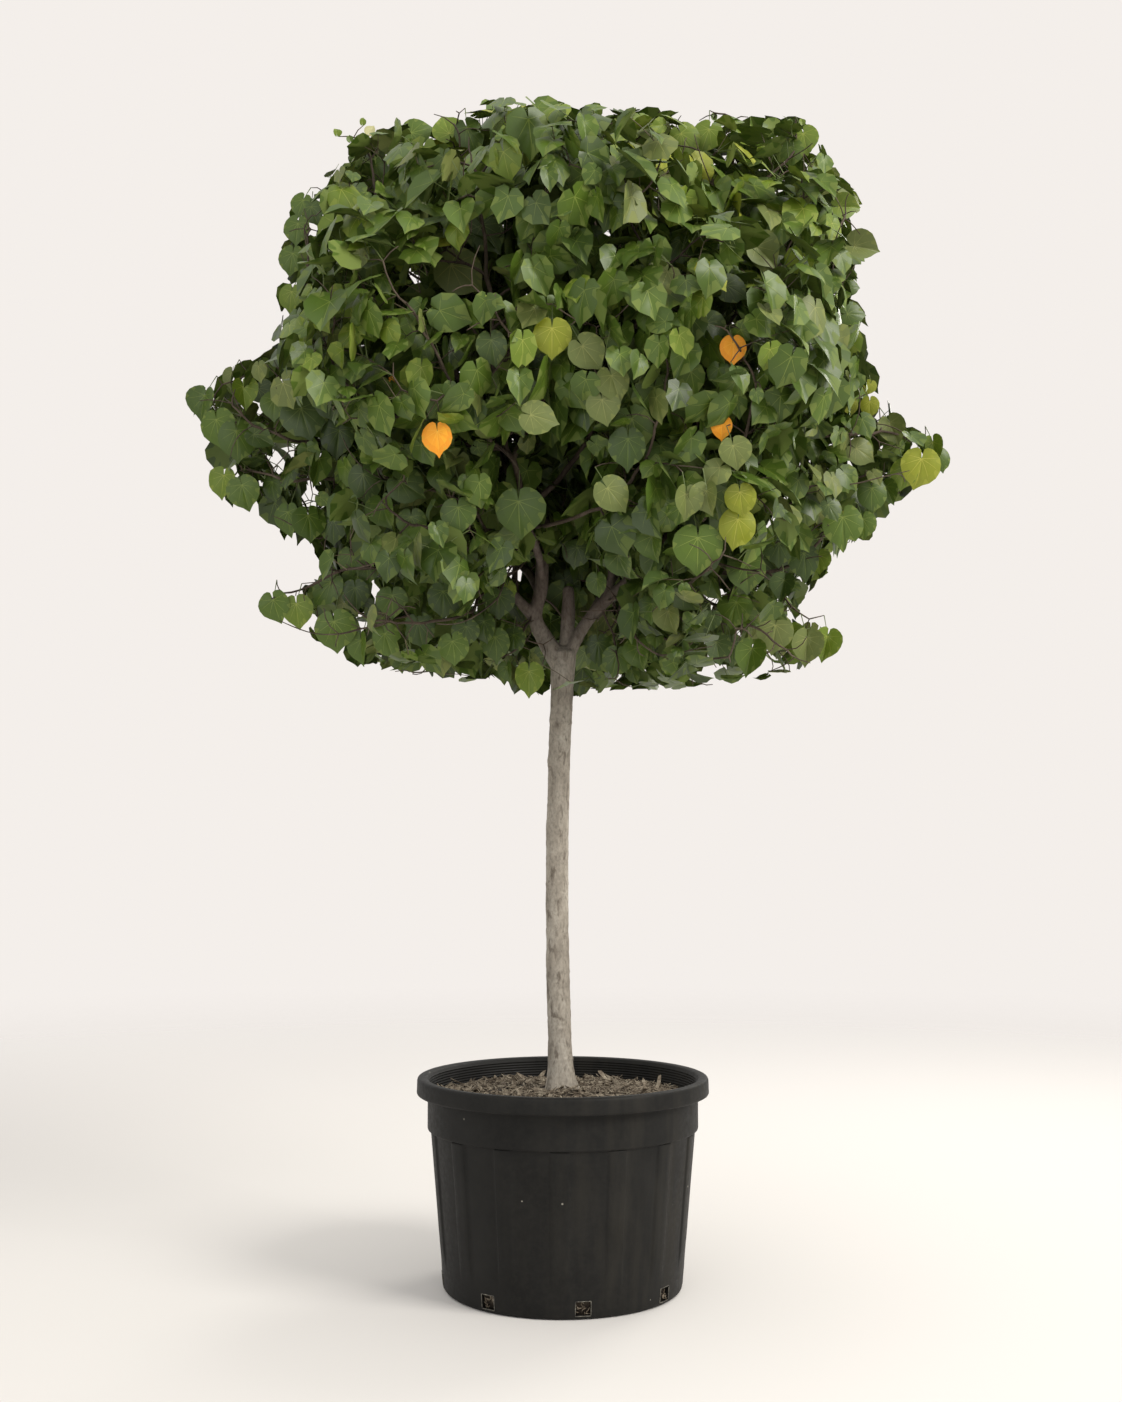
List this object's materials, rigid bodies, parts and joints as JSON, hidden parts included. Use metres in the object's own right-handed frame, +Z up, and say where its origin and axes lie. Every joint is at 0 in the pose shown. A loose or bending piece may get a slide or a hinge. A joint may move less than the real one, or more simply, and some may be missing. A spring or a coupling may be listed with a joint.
{
  "type": "hibiscus tree in a pot",
  "caption": "Heart-leaved hibiscus grown as a standard tree: one bare stem, a squared leafy crown with side sprays, in a black plastic nursery pot filled with bark mix.",
  "frame": {"origin": "middle of the pot's flat underside", "axes": "+Z up along the stem, -Y towards the viewer of the picture, +X to the viewer's right"},
  "size_m": [1.6237, 1.4491, 2.4629],
  "materials": {
    "pot_plastic": "satin",
    "bark_mix": "matte",
    "bark": "matte",
    "leaves": "satin"
  },
  "bodies": {
    "root": {"pot": "pot_plastic", "bark_mix": "bark_mix", "trunk": "bark", "bough_left": "bark", "bough_centre_stub": "bark", "bough_right": "bark", "bough_outer_left": "bark", "bough_back_left": "bark", "bough_front": "bark", "bough_back_right": "bark", "bough_upper_right": "bark", "foliage_top_left": "leaves", "foliage_top_middle_left": "leaves", "foliage_top_middle_right": "leaves", "foliage_top_right": "leaves", "foliage_top_back": "leaves", "foliage_upper_front": "leaves", "foliage_middle_left": "leaves", "foliage_middle_front_left": "leaves", "foliage_middle_front_right": "leaves", "foliage_middle_right": "leaves", "foliage_middle_back_right": "leaves", "foliage_middle_back_left": "leaves", "foliage_heart": "leaves", "foliage_low_left": "leaves", "foliage_low_front_left": "leaves", "foliage_low_front_right": "leaves", "foliage_low_right": "leaves", "foliage_low_back": "leaves", "foliage_left_arm": "leaves", "foliage_right_tip": "leaves", "foliage_low_left_spray": "leaves", "foliage_low_right_spray": "leaves", "foliage_back_arm": "leaves"}
  },
  "joints": []
}
